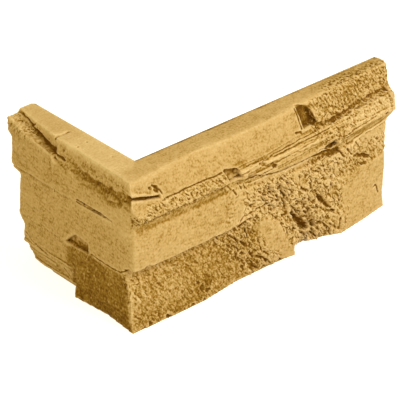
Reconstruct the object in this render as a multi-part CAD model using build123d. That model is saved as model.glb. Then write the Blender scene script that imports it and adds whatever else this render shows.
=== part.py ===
from build123d import *
import os
from typing import NamedTuple

# Corner piece of cast stone cladding, one solid. Millimetres, +Z up.
# The origin is the inner corner, where the two wall faces meet, on the base.
# The long leg runs along +X with its split face at -Y, and the short leg runs
# along +Y with its split face at -X. The split faces are ruled lofts through
# cross-sections of each leg, taken where the broken courses change.

# Overall sizes
HEIGHT = 100.0
LONG_LEG = 200.0
SHORT_LEG = 97.0
THICKNESS = 22.0

# Courses that run round the corner, each by its own height
TOP_COURSE = 18.0
BAND = 8.5
GROOVE = 9.0
FOOT_COURSE = 39.5
SHORT_FOOT_COURSE = 34.0
SOLE = 11.0
LIP = 1.5

# The top course wedges out along the short leg, with a step where its lid starts: four heights
WEDGE_START = 12.0
WEDGE_LID = 8.5
WEDGE_MIDDLE = 6.0
WEDGE_END = 2.2

# How far the band's underside dips along the long leg, and its ledge sinks and then rises
BAND_DIP = 7.0
BAND_SINK = 1.5
BAND_RISE = 2.5

# Bed lines, from the base upwards
BAND_TOP = HEIGHT - TOP_COURSE
BAND_LOW = BAND_TOP - BAND
GROOVE_LOW = BAND_LOW - GROOVE

# Places along the long leg, from the inner corner
CORNER_RUN = 30.0
CHIP_END = 2.0
SMOOTH_MIDDLE = 30.0
SMOOTH_END = 60.0
ROUGH_START = 72.0
HUMMOCK = 90.0
NOTCH_START = 110.0
NOTCH_LENGTH = 17.0
# and back from its far end
FAN_START = 50.0
FAN_MIDDLE = 26.0

# Places along the short leg, from the inner corner
BLOCK_END = 29.0
STEP_RUN = 4.0
LEDGE_START = 50.0
LEDGE_MIDDLE = 74.0

# Ends of the legs, which step back below the upper courses
LONG_END_STEP = 5.0
LONG_END_TAPER = 2.0
SHORT_LEDGE_STEP = 5.0
SHORT_END_STEP = 12.0
SHORT_LEDGE = 21.0
END_CHAMFER = 6.0

# Broken hollows of the long face
TOP_PIT_AT = 118.0
TOP_PIT_LENGTH = 13.0
TOP_PIT_LEAN = 4.0
TOP_PIT_DEPTH = 9.5
BAND_PIT_AT = 51.0
BAND_PIT_LENGTH = 11.0
BAND_PIT_DEPTH = 3.0
UNDERCUT_LENGTH = 22.0
UNDERCUT_HEIGHT = 4.0
UNDERCUT_DEPTH = 5.0
CORNER_SLOT = 5.0
CORNER_SLOT_DEPTH = 3.5
NOTCH_HEIGHT = 7.5
NOTCH_DEPTH = 7.0

# Broken hollows of the short face, and the crack across its top
FACE_SLOT_LENGTH = 32.0
FACE_SLOT = 1.3
FACE_SLOT_DEPTH = 4.0
HOOK_LENGTH = 20.0
HOOK_HEIGHT = 9.0
HOOK_DEPTH = 3.5
CRACK_AT = 53.0
CRACK = 1.2
CRACK_DEPTH = 2.0
CRACK_INSET = 7.0

# How the outer corner's arris is worn off: height, then how far along each face
ARRIS_LONG = 22.5
ARRIS_SHORT = 26.0
ARRIS_WEAR = (
    (FOOT_COURSE, 0.5, 0.5),
    ((FOOT_COURSE + GROOVE_LOW) / 2, 1.5, 6.0),
    ((GROOVE_LOW + BAND_LOW) / 2, 6.5, 10.0),
    (BAND_LOW, 6.0, 12.0),
    (BAND_TOP - LIP, 2.0, 14.0),
    (BAND_TOP + 2 * LIP, 1.0, 16.0),
)

# Room past the faces for the bodies that cut and intersect
SPARE = 15.0


class Bed(NamedTuple):
    """One bed line at one place: its height, and how far the face stands proud of THICKNESS."""

    height: float
    proud: float


def long_section(station):
    """Cross-section plane of the long leg: local X is the depth, local Y is up."""
    return Plane(origin=(station, 0, 0), x_dir=(0, -1, 0), z_dir=(-1, 0, 0))


def short_section(station):
    """Cross-section plane of the short leg: local X is the depth, local Y is up."""
    return Plane(origin=(0, station, 0), x_dir=(-1, 0, 0), z_dir=(0, 1, 0))


def long_front(depth):
    """Plane at one depth of the long leg: local X is +X, local Y is up."""
    return Plane(origin=(0, -depth, 0), x_dir=(1, 0, 0), z_dir=(0, -1, 0))


def short_front(depth):
    """Plane at one depth of the short leg: local X is -Y, local Y is up."""
    return Plane(origin=(-depth, 0, 0), x_dir=(0, -1, 0), z_dir=(-1, 0, 0))


def beds(heights, prouds):
    """Pair each course's heights with how far its face stands proud at them."""
    return [Bed(h, p) for course in zip(heights, prouds) for h, p in zip(*course, strict=True)]


def long_beds(foot_course, smooth_course, groove, band, top_course, dip=0.0, rise=0.0):
    """Beds of the long face; dip lowers the band's underside, rise lifts its ledge."""
    split_low = FOOT_COURSE + LIP
    split_top = GROOVE_LOW - dip
    heights = [
        tuple(FOOT_COURSE * quarter / 4 for quarter in range(5)),
        (split_low, (split_low + split_top) / 2, split_top),
        (GROOVE_LOW + LIP - dip, BAND_LOW - LIP - dip),
        (BAND_LOW - dip, BAND_TOP - LIP + rise),
        (BAND_TOP + rise, HEIGHT),
    ]
    return beds(heights, [foot_course, smooth_course, groove, band, top_course])


def short_beds(sole, foot_course, face, ledge, top_course, wedge=TOP_COURSE, lip=LIP):
    """Beds of the short face; wedge is the top course's height, lip the gap under it."""
    ledge_top = HEIGHT - wedge
    heights = [
        (0.0, SOLE),
        (SOLE + LIP, SHORT_FOOT_COURSE - LIP),
        (SHORT_FOOT_COURSE, GROOVE_LOW + LIP),
        (GROOVE_LOW + 2 * LIP, ledge_top),
        (ledge_top, ledge_top + lip, HEIGHT),
    ]
    return beds(heights, [sole, foot_course, face, ledge, top_course])


def leg_body(stations, section, back):
    """Solid behind a split face: a ruled loft through the leg's cross-sections."""
    sections = []
    for station, bed_lines in stations:
        front = [(THICKNESS + bed.proud, bed.height) for bed in bed_lines]
        outline = Polyline(*front, (-back, HEIGHT), (-back, 0.0), close=True)
        sections.append(section(station) * make_face(outline))
    return loft(sections, ruled=True)


def long_leg():
    """The long leg's split face, from past the outer corner to past the far end."""
    notch_end = NOTCH_START + NOTCH_LENGTH
    notch_middle = NOTCH_START + NOTCH_LENGTH / 2
    hummock_end = (HUMMOCK + NOTCH_START) / 2
    fan_start = LONG_LEG - FAN_START
    fan_foot = (notch_end + fan_start) / 2
    fan_middle = LONG_LEG - FAN_MIDDLE
    past_end = LONG_LEG + SPARE
    dip = BAND_DIP
    rise = BAND_RISE
    sink = -BAND_SINK
    stations = [
        (-CORNER_RUN, long_beds((4.5, 2.5, 1.5, -3.5, -9), (3, 2, 1), (0, 0), (4, 1.5), (0.5, -1))),
        (CHIP_END, long_beds((5.5, 3.5, 2, 0, -4), (4, 3, 1), (0, 0), (4, 1.5), (0.5, -3.7))),
        (SMOOTH_MIDDLE, long_beds((6, 4, 2.5, 0.5, -2.5), (4, 3, 1), (0, 0), (4, 1.5), (0.2, -6))),
        (SMOOTH_END, long_beds((2.5, 2.5, 2, 1, -1), (3.5, 2.5, 1), (0, 0), (3.5, 1), (0, -5))),
        (ROUGH_START, long_beds((2.5, 1, 1.5, 0.5, 1.5), (1.5, 1.5, 1), (0, 0), (2.5, 0), (-0.5, -4), LIP)),
        (HUMMOCK, long_beds((2.5, 4, 4, 3.5, 2), (2, 0, 1.5), (1, 0.5), (2.5, 0), (-0.5, -4.5), dip)),
        (hummock_end, long_beds((3, 3.5, 4, 2.5, 0.5), (0.5, 2, 0), (1, 0.5), (2.5, -0.5), (-1, -5), dip)),
        (
            NOTCH_START,
            long_beds((4.5, 3.5, 1, 0, 1.5), (1, 1.5, 0.5), (-0.5, 0.5), (2.5, -0.5), (-1, -6), dip, sink),
        ),
        (
            notch_middle,
            long_beds((1.5, 0.5, -1.5, 1.5, 2.5), (2.5, 0.5, 2), (-1, 0), (2.5, -1), (-2, -7), dip, sink),
        ),
        (notch_end, long_beds((-3, -1, 1, 0.5, 0), (0.5, 2, 0), (-1.5, 0), (2, -1), (-3, -7.5), dip, sink)),
        (fan_foot, long_beds((0, 1, 2.5, 0.5, 2), (1.5, 0, 1.5), (-1.5, 0), (2, -1), (-4, -8), dip, sink)),
        (fan_start, long_beds((5, 4.5, 3, 2.5, 1.5), (1, 1, 0), (-2, 0), (2, -1.5), (-5, -8.5), dip, sink)),
        (
            fan_middle,
            long_beds((2, 2, 1.5, 1, 0.5), (-0.5, -1, -0.5), (-1.5, 1), (2, -1), (-6, -10), rise, rise),
        ),
        (
            past_end,
            long_beds((-5, -4.5, -4, -3.5, -3), (-3, -3, -3.5), (-4, -2), (0, -1.5), (-8, -12), rise, rise),
        ),
    ]
    return leg_body(stations, long_section, SHORT_LEG + 2 * SPARE)


def short_leg():
    """The short leg's split face, from past the outer corner to past the far end."""
    step_end = BLOCK_END + STEP_RUN
    past_end = SHORT_LEG + SPARE
    lip = LIP / 2
    lid_start = LEDGE_START + LIP
    stations = [
        (-CORNER_RUN, short_beds((4, 3), (3, 0.5), (0.5, 0.5), (0.5, 0), (-2, 0, -1))),
        (0.0, short_beds((1.5, 3), (3, 0.5), (0.5, 0.5), (0.5, 0), (-2, 0, -2.5))),
        (BLOCK_END, short_beds((4, 2.5), (2.5, 0), (0.5, 0.5), (0.5, 0), (-2, 0, -4))),
        (step_end, short_beds((-4, -3), (-0.5, 0), (0.5, 0.5), (1, 0.5), (-2, 0, -4))),
        (LEDGE_START, short_beds((-4, -3), (-0.5, 0), (0.5, 0.5), (1.5, 2), (-2, -2, -4), WEDGE_START)),
        (lid_start, short_beds((-4, -3), (-0.5, 0), (0.5, 0.5), (1.5, 1), (-5, -4, -4), WEDGE_LID)),
        (LEDGE_MIDDLE, short_beds((-5, -3), (-0.5, 0), (0.5, 0), (1.5, 2), (-6, -6, -7), WEDGE_MIDDLE)),
        (SHORT_LEG, short_beds((-6, -4), (-2, -1), (-0.5, -0.5), (0.5, -1), (-9, -9, -11), WEDGE_END, lip)),
        (past_end, short_beds((-6, -4), (-2, -1), (-1, -1), (0, -2), (-9, -9, -12), WEDGE_END, lip)),
    ]
    return leg_body(stations, short_section, LONG_LEG + 2 * SPARE)


def wall_corner():
    """The wall's corner that the two back faces sit on."""
    along_x = LONG_LEG + 2 * SPARE
    along_y = SHORT_LEG + 2 * SPARE
    return Pos(along_x / 2, along_y / 2, HEIGHT / 2) * Box(along_x, along_y, HEIGHT + 2 * SPARE)


def long_end():
    """What is broken away past the long leg's stepped end."""
    step = LONG_LEG - LONG_END_STEP
    far = LONG_LEG + 2 * SPARE
    outline = Polyline(
        (step + LONG_END_TAPER, -SPARE),
        (step - LONG_END_TAPER, SOLE + LIP),
        (step, GROOVE_LOW),
        (LONG_LEG, BAND_LOW - 3.5 * LIP),
        (LONG_LEG + LONG_END_TAPER / 2, BAND_TOP),
        (LONG_LEG + 2 * LONG_END_TAPER, HEIGHT + SPARE),
        (far, HEIGHT + SPARE),
        (far, -SPARE),
        close=True,
    )
    return extrude(Plane.XZ * make_face(outline), amount=THICKNESS + SPARE, both=True)


def short_end():
    """What is broken away past the short leg's twice stepped end."""
    ledge = SHORT_LEG - SHORT_LEDGE_STEP
    step = SHORT_LEG - SHORT_END_STEP
    ledge_top = BAND_TOP + 2 * LIP
    ledge_low = ledge_top - SHORT_LEDGE
    far = SHORT_LEG + 2 * SPARE
    outline = Polyline(
        (step - END_CHAMFER - SPARE, -SPARE),
        (step - END_CHAMFER, 0.0),
        (step + LIP, SOLE + LIP),
        (step - LIP, SHORT_FOOT_COURSE - 5 * LIP),
        (step + 2 * LIP, SHORT_FOOT_COURSE - 2 * LIP),
        (step, ledge_low - LIP),
        (ledge, ledge_low),
        (ledge, ledge_top),
        (SHORT_LEG, ledge_top + 2 * LIP),
        (SHORT_LEG, HEIGHT + SPARE),
        (far, HEIGHT + SPARE),
        (far, -SPARE),
        close=True,
    )
    return extrude(Plane.YZ * make_face(outline), amount=THICKNESS + SPARE, both=True)


def hollow(points, depth_in, front):
    """Prism through an outline on a split face, from depth_in under THICKNESS outwards."""
    floor = front(THICKNESS - depth_in) * make_face(Polyline(*points, close=True))
    return extrude(floor, amount=depth_in + SPARE)


def top_pit():
    """Deep leaning pit that breaks the long leg's top course and its crease."""
    end = TOP_PIT_AT + TOP_PIT_LENGTH
    points = [
        (TOP_PIT_AT, HEIGHT + LIP / 2),
        (end - TOP_PIT_LEAN, HEIGHT - 2 * LIP),
        (end, HEIGHT - TOP_COURSE / 2),
        (end + TOP_PIT_LEAN, BAND_TOP + LIP),
        (TOP_PIT_AT + TOP_PIT_LEAN, BAND_TOP + LIP),
    ]
    return hollow(points, TOP_PIT_DEPTH, long_front)


def band_pit():
    """Smaller pit where a flake has left the band."""
    end = BAND_PIT_AT + BAND_PIT_LENGTH
    points = [
        (BAND_PIT_AT, BAND_TOP + LIP / 2),
        (end, BAND_TOP - LIP),
        (end + 4 * LIP, BAND_LOW - LIP / 2),
        (end - BAND_PIT_LENGTH / 2, BAND_LOW - LIP),
    ]
    return hollow(points, BAND_PIT_DEPTH, long_front)


def undercut():
    """Dark hollow under the band, where the fan of the far end begins."""
    end = LONG_LEG - FAN_START
    points = [
        (end - UNDERCUT_LENGTH, GROOVE_LOW + 2 * LIP),
        (end - UNDERCUT_LENGTH / 3, GROOVE_LOW - LIP),
        (end, GROOVE_LOW),
        (end - 2 * LIP, GROOVE_LOW + UNDERCUT_HEIGHT),
    ]
    return hollow(points, UNDERCUT_DEPTH, long_front)


def corner_slot():
    """Slot under the top course at the corner, ending at the chip."""
    start = -CORNER_RUN - SPARE
    points = [
        (start, BAND_TOP + 3 * CORNER_SLOT),
        (CHIP_END, BAND_TOP + 2 * LIP),
        (CHIP_END, BAND_TOP + LIP / 2),
        (start, BAND_TOP + 3 * CORNER_SLOT - LIP),
    ]
    return hollow(points, CORNER_SLOT_DEPTH, long_front)


def base_notch():
    """Notch broken out of the long leg's lower edge."""
    end = NOTCH_START + NOTCH_LENGTH
    points = [
        (NOTCH_START - LIP, -SPARE),
        (NOTCH_START, NOTCH_HEIGHT),
        ((NOTCH_START + end) / 2, NOTCH_HEIGHT - LIP),
        (end, NOTCH_HEIGHT / 2),
        (end + 3 * LIP, -SPARE),
    ]
    return hollow(points, NOTCH_DEPTH, long_front)


def face_slot():
    """Thin slot between two beds of the short face."""
    low = GROOVE_LOW + 2 * LIP
    start = -BLOCK_END
    end = start + FACE_SLOT_LENGTH
    points = [
        (start, low),
        (end, low),
        (end - FACE_SLOT, low + FACE_SLOT),
        (start - FACE_SLOT, low + FACE_SLOT),
    ]
    return hollow(points, FACE_SLOT_DEPTH, short_front)


def hook():
    """Hooked recess over the foot course of the short face."""
    end = HOOK_LENGTH / 2 - BLOCK_END
    start = end - HOOK_LENGTH
    points = [
        (start - STEP_RUN, SHORT_FOOT_COURSE - LIP),
        (end, SHORT_FOOT_COURSE),
        (end, SHORT_FOOT_COURSE + HOOK_HEIGHT - LIP),
        (start + 2 * STEP_RUN, SHORT_FOOT_COURSE + HOOK_HEIGHT),
    ]
    return hollow(points, HOOK_DEPTH, short_front)


def top_crack():
    """V-shaped crack across the short leg's top, from its crease part of the way in."""
    outline = Polyline(
        (CRACK_AT - CRACK / 2, HEIGHT),
        (CRACK_AT, HEIGHT - CRACK_DEPTH),
        (CRACK_AT + CRACK / 2, HEIGHT),
        (CRACK_AT, HEIGHT + SPARE),
        close=True,
    )
    start = Plane.YZ.offset(-CRACK_INSET) * make_face(outline)
    return extrude(start, amount=-THICKNESS)


def arris_wear():
    """What is worn off the outer corner's arris, between the foot course and the top course."""
    sections = []
    for height, on_long, on_short in ARRIS_WEAR:
        reach = Vector(on_long, -on_short)
        past = reach.normalized() * SPARE
        on_long_face = Vector(-ARRIS_LONG + on_long, -ARRIS_SHORT) + past
        on_short_face = Vector(-ARRIS_LONG, -ARRIS_SHORT + on_short) - past
        outside = Vector(-ARRIS_LONG - 2 * SPARE, -ARRIS_SHORT - 2 * SPARE)
        outline = Polyline(on_long_face, on_short_face, outside, close=True)
        sections.append(Plane.XY.offset(height) * make_face(outline))
    return loft(sections, ruled=True)


def corner_stone():
    """The whole casting."""
    body = long_leg() & short_leg()
    ends = [wall_corner(), long_end(), short_end(), arris_wear()]
    hollows = [top_pit(), band_pit(), undercut(), corner_slot(), base_notch()]
    hollows += [face_slot(), hook(), top_crack()]
    for cutter in ends + hollows:
        body -= cutter
    return body


os.makedirs("parts", exist_ok=True)
stone = corner_stone()
export_step(stone, "parts/corner_stone.step")
print("solids", len(stone.solids()), "volume", round(stone.volume), "box", stone.bounding_box())
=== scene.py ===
"""Corner piece of cast stone cladding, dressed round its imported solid.

The solid has the courses, ledges, hollows and stepped ends as plain facets. This script copies it,
gives the copy an even fine mesh, works the split relief into its two outer faces and finishes it
as ochre cast stone. Lengths in the carving are in millimetres, and Blender's are in metres.
"""

import logging
import math
from collections.abc import Iterator
from dataclasses import dataclass, field
from enum import Enum
from itertools import product

import bmesh
import bpy
import numpy as np
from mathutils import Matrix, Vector


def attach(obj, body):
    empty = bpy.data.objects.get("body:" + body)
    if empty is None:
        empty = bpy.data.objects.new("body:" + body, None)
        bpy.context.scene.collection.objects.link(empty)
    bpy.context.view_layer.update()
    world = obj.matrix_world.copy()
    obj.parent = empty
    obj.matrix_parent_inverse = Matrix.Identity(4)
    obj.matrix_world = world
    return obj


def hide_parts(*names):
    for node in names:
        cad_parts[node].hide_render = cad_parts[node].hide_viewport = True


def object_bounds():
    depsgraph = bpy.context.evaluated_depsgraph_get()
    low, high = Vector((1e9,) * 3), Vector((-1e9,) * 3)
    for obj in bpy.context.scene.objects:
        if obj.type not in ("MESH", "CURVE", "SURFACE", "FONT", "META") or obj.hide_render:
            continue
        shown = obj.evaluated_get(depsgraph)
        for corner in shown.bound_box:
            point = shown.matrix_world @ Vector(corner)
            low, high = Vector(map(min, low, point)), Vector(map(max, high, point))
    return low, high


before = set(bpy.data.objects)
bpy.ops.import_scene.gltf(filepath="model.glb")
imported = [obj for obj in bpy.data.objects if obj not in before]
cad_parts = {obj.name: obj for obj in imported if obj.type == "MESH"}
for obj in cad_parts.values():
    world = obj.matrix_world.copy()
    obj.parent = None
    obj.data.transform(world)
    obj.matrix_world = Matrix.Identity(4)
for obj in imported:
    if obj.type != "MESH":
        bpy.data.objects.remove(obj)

SOLID_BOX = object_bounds()
MM = 0.001
LOG = logging.getLogger("corner_stone")

Array = np.ndarray
Range = tuple[float, float]
Colour = tuple[float, float, float]
Direction = tuple[float, float, float]
Inputs = dict[str | int, object]

# The split's grain runs down along each leg at this angle, and draws its marks out this much
GRAIN_DIP = math.radians(55.0)
GRAIN_DRAW = 1.9

# Where the relief sets in: out from the wall face, and along the long leg over its plain top
BACK_FADE = (2.5, 8.0)
ROUGH_TOP = (138.0, 158.0)

# Heights and tilts over which it leaves the top and the bed plain
TOP_FADE = (97.0, 99.0)
TOP_TILT = (0.6, 0.9)
BED_FADE = (0.3, 1.5)
BED_TILT = (0.7, 0.95)

# The crack across the short leg's top and the pin holes beside it: places, depths and half widths
TOP_CRACK = 53.0
TOP_CRACK_DEPTH = 1.5
PIN_HOLES = ((-7.0, 36.0), (-15.0, 35.0), (-7.0, 12.0))
PIN_DEPTH = 0.9
MARK_SIDES = (0.3, 0.9)

# The worn rim of the long leg's top, and the worn edge of the outer corner: its middle and reach
RIM_UP = (92.0, 97.0)
RIM_END = (185.0, 195.0)
CORNER_MIDDLE = (-24.0, -26.0)
CORNER_REACH = (9.0, 17.0)
CORNER_FOOT = (38.0, 43.0)
CORNER_HEAD = (80.0, 84.0)
CORNER_WEAR = 0.9

# How near a back or the bed a point lies, and how squarely it faces, to be set on it
PLANE_GAP = 0.5
PLANE_TILT = 0.7

# A start of a stretch that lies before all points of the piece
FROM_CORNER = (-60.0, -50.0)


class Leg(Enum):
    """The two legs of the corner piece, each with one split face."""

    LONG = "long"
    SHORT = "short"


class Break(Enum):
    """The ways in which the stone of the mould's model was broken or worn."""

    SANDY = "sandy"
    SPLIT = "split"
    PITTED = "pitted"
    LEAVED = "leaved"


@dataclass(frozen=True)
class Zone:
    """A stretch of a split face with one sort of break, in millimetres.

    Along runs from the inner corner towards the leg's far end, and up from the base. Lean is how far
    the stretch shifts back towards the corner for each millimetre of height.
    """

    leg: Leg
    kind: Break
    along: Range
    up: Range
    strength: float = 1.0
    feather: float = 4.0
    lean: float = 0.0


@dataclass(frozen=True)
class Pit:
    """A hole in a split face, in millimetres.

    Reach is its radius, stretch its length over its width, and turn its angle in degrees.
    """

    leg: Leg
    along: float
    up: float
    reach: float
    depth: float
    stretch: float = 1.0
    turn: float = 0.0


@dataclass(frozen=True)
class Seam:
    """A crack, bed line or ridge along straight runs on a split face, in millimetres.

    A negative depth makes it a ridge. Dark is how much darker it is painted: in cracks, slots and under
    ledges it is painted shade, added to the shade of its own depth, and a negative dark paints it lighter,
    which on the arch's edge and beside the short leg's corner is painted light.
    """

    leg: Leg
    route: tuple[tuple[float, float], ...]
    width: float
    depth: float
    dark: float = 0.0


@dataclass(frozen=True)
class ShadingOrStain:
    """A patch painted darker or lighter, in millimetres; some are painted shade in pits, slots, hollows and
    under ledges, some painted light on lit or shaded faces, and the rest darker or lighter stone.

    Out is its range of distances from the wall face, and a negative strength makes it lighter.
    """

    leg: Leg
    along: Range
    up: Range
    strength: float
    feather: float = 3.0
    out: Range = (-5.0, 40.0)


@dataclass(frozen=True)
class HollowShading:
    """How a point's height over its neighbours paints its stone lighter or darker: painted shade in hollows
    and painted highlight on crests.

    The neighbours are drawn together in rounds. Gain is the tone for each millimetre, held between
    darkest and lightest.
    """

    rounds: int
    gain: float
    darkest: float
    lightest: float


@dataclass(frozen=True)
class Softening:
    """A stretch of a split face whose edges are worn rounder, in millimetres.

    It sets in over start and fades over end along the leg, and over foot and head up the face.
    """

    leg: Leg
    start: Range
    end: Range
    foot: Range
    head: Range
    strength: float


LONG, SHORT = Leg
SANDY, SPLIT, PITTED, LEAVED = Break

ZONES = (
    # Top course
    Zone(LONG, SANDY, (-40, 122), (83, 105), 1.0, 3),
    Zone(LONG, PITTED, (128, 215), (82, 105), 1.0, 7),
    # Narrow rough bed and leaved bed
    Zone(LONG, PITTED, (-25, -10), (71, 79), 1.0, 4),
    Zone(LONG, PITTED, (-12, 52), (70, 82), 1.1, 4),
    Zone(LONG, LEAVED, (62, 160), (65, 82), 0.8, 3),
    Zone(LONG, LEAVED, (155, 215), (72, 84), 0.5, 6),
    Zone(LONG, PITTED, (130, 163), (66, 82), 0.7, 6),
    Zone(LONG, PITTED, (157, 199), (71, 84), 0.8, 5),
    # Smooth middle course
    Zone(LONG, SANDY, (-40, 60), (41, 73), 1.2, 4),
    Zone(LONG, SANDY, (52, 82), (44, 70), 2.0, 6),
    # Foot
    Zone(LONG, PITTED, (-40, 64), (-5, 40), 0.42, 5, 0.5),
    Zone(LONG, SPLIT, (-40, 62), (-5, 38), 0.15, 5),
    Zone(LONG, SPLIT, (58, 84), (-5, 41), 0.65, 7, 0.75),
    Zone(LONG, PITTED, (60, 86), (-5, 41), 0.7, 7, 0.75),
    # Broken middle and its cleft
    Zone(LONG, SPLIT, (66, 104), (36, 58), 0.8, 7),
    Zone(LONG, PITTED, (66, 106), (34, 63), 0.7, 8),
    Zone(LONG, SPLIT, (99, 124), (-5, 60), 1.3, 8, 0.5),
    Zone(LONG, PITTED, (97, 126), (-5, 61), 0.8, 8, 0.5),
    Zone(LONG, SPLIT, (120, 149), (-5, 60), 1.0, 14),
    Zone(LONG, PITTED, (120, 151), (-5, 64), 0.8, 12),
    Zone(LONG, SANDY, (84, 106), (4, 38), 1.6, 6),
    # Far stretch
    Zone(LONG, SPLIT, (150, 200), (40, 56), 0.4, 8),
    Zone(LONG, PITTED, (148, 205), (40, 60), 0.7, 8),
    Zone(LONG, SANDY, (150, 205), (-5, 40), 1.3, 8),
    # Short leg: above the foot
    Zone(SHORT, SANDY, (-40, 110), (32, 105), 1.4, 3),
    Zone(SHORT, PITTED, (70, 110), (90, 99), 0.7, 4),
    Zone(SHORT, PITTED, (-18, 45), (84, 97), 0.3, 5),
    # Short leg: foot
    Zone(SHORT, SANDY, (32, 110), (-5, 36), 1.4, 3),
    Zone(SHORT, LEAVED, (34, 110), (-5, 18), 0.6, 4),
    Zone(SHORT, SANDY, (-40, 34), (-5, 33), 1.6, 4),
    Zone(SHORT, PITTED, (-40, 34), (-5, 33), 0.08, 4),
    Zone(SHORT, PITTED, (-40, -20), (3, 37), 0.5, 3, -0.43),
)

PITS = (
    # Broken middle and its cleft
    Pit(LONG, 129, 30, 1.8, 1.7, 1.6, 40),
    Pit(LONG, 142, 38, 1.5, 1.4, 1.8, 50),
    Pit(LONG, 134, 12, 2.0, 1.6, 1.6, 50),
    Pit(LONG, 128, 5, 2.6, 1.8, 1.6, 20),
    Pit(LONG, 141, 48, 1.6, 1.3, 1.8, 50),
    Pit(LONG, 103, 37, 1.8, 1.5, 1.8, 60),
    Pit(LONG, 92, 54, 1.6, 1.2, 1.6, 20),
    Pit(LONG, 74, 49, 1.6, 1.1, 1.8, 50),
    # Foot
    Pit(LONG, 66, 8, 1.5, 1.0, 1.6, 55),
    Pit(LONG, 31, 9, 2.6, 1.6, 1.3, 60),
    Pit(LONG, 35, 5.5, 1.9, 1.3),
    Pit(LONG, 28, 13, 1.5, 0.9),
    # Nicks along the lower edge
    Pit(LONG, -11, 1, 2.0, 1.3),
    Pit(LONG, 2, 1, 2.2, 1.4),
    Pit(LONG, 22, 0.5, 2.8, 1.4),
    Pit(LONG, 31, 0.5, 1.8, 1.3),
    Pit(LONG, 84, 0.5, 2.4, 1.4),
    Pit(LONG, 97, 1, 2.0, 1.3),
    # Leaved bed and far stretch
    Pit(LONG, 92, 71, 1.7, 1.6, 1.4, 30),
    Pit(LONG, 83, 75.5, 1.8, 1.2, 2.0, 30),
    Pit(LONG, 186, 54, 1.5, 1.0),
    Pit(LONG, 193, 70, 1.6, 1.2),
    # Edge over the foot
    Pit(LONG, 8, 39, 1.3, 1.5),
    Pit(LONG, 14, 38.5, 1.5, 1.7),
    Pit(LONG, -12, 41.5, 1.1, 0.9, 2.0),
    # Corner of the top course
    Pit(LONG, -1, 89, 1.9, 1.4, 1.7, 60),
    Pit(LONG, -6, 92, 1.1, 0.6, 1.6, 20),
    # Short leg
    Pit(SHORT, 50, 67, 1.0, 0.8, 1.8, 90),
)

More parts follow.
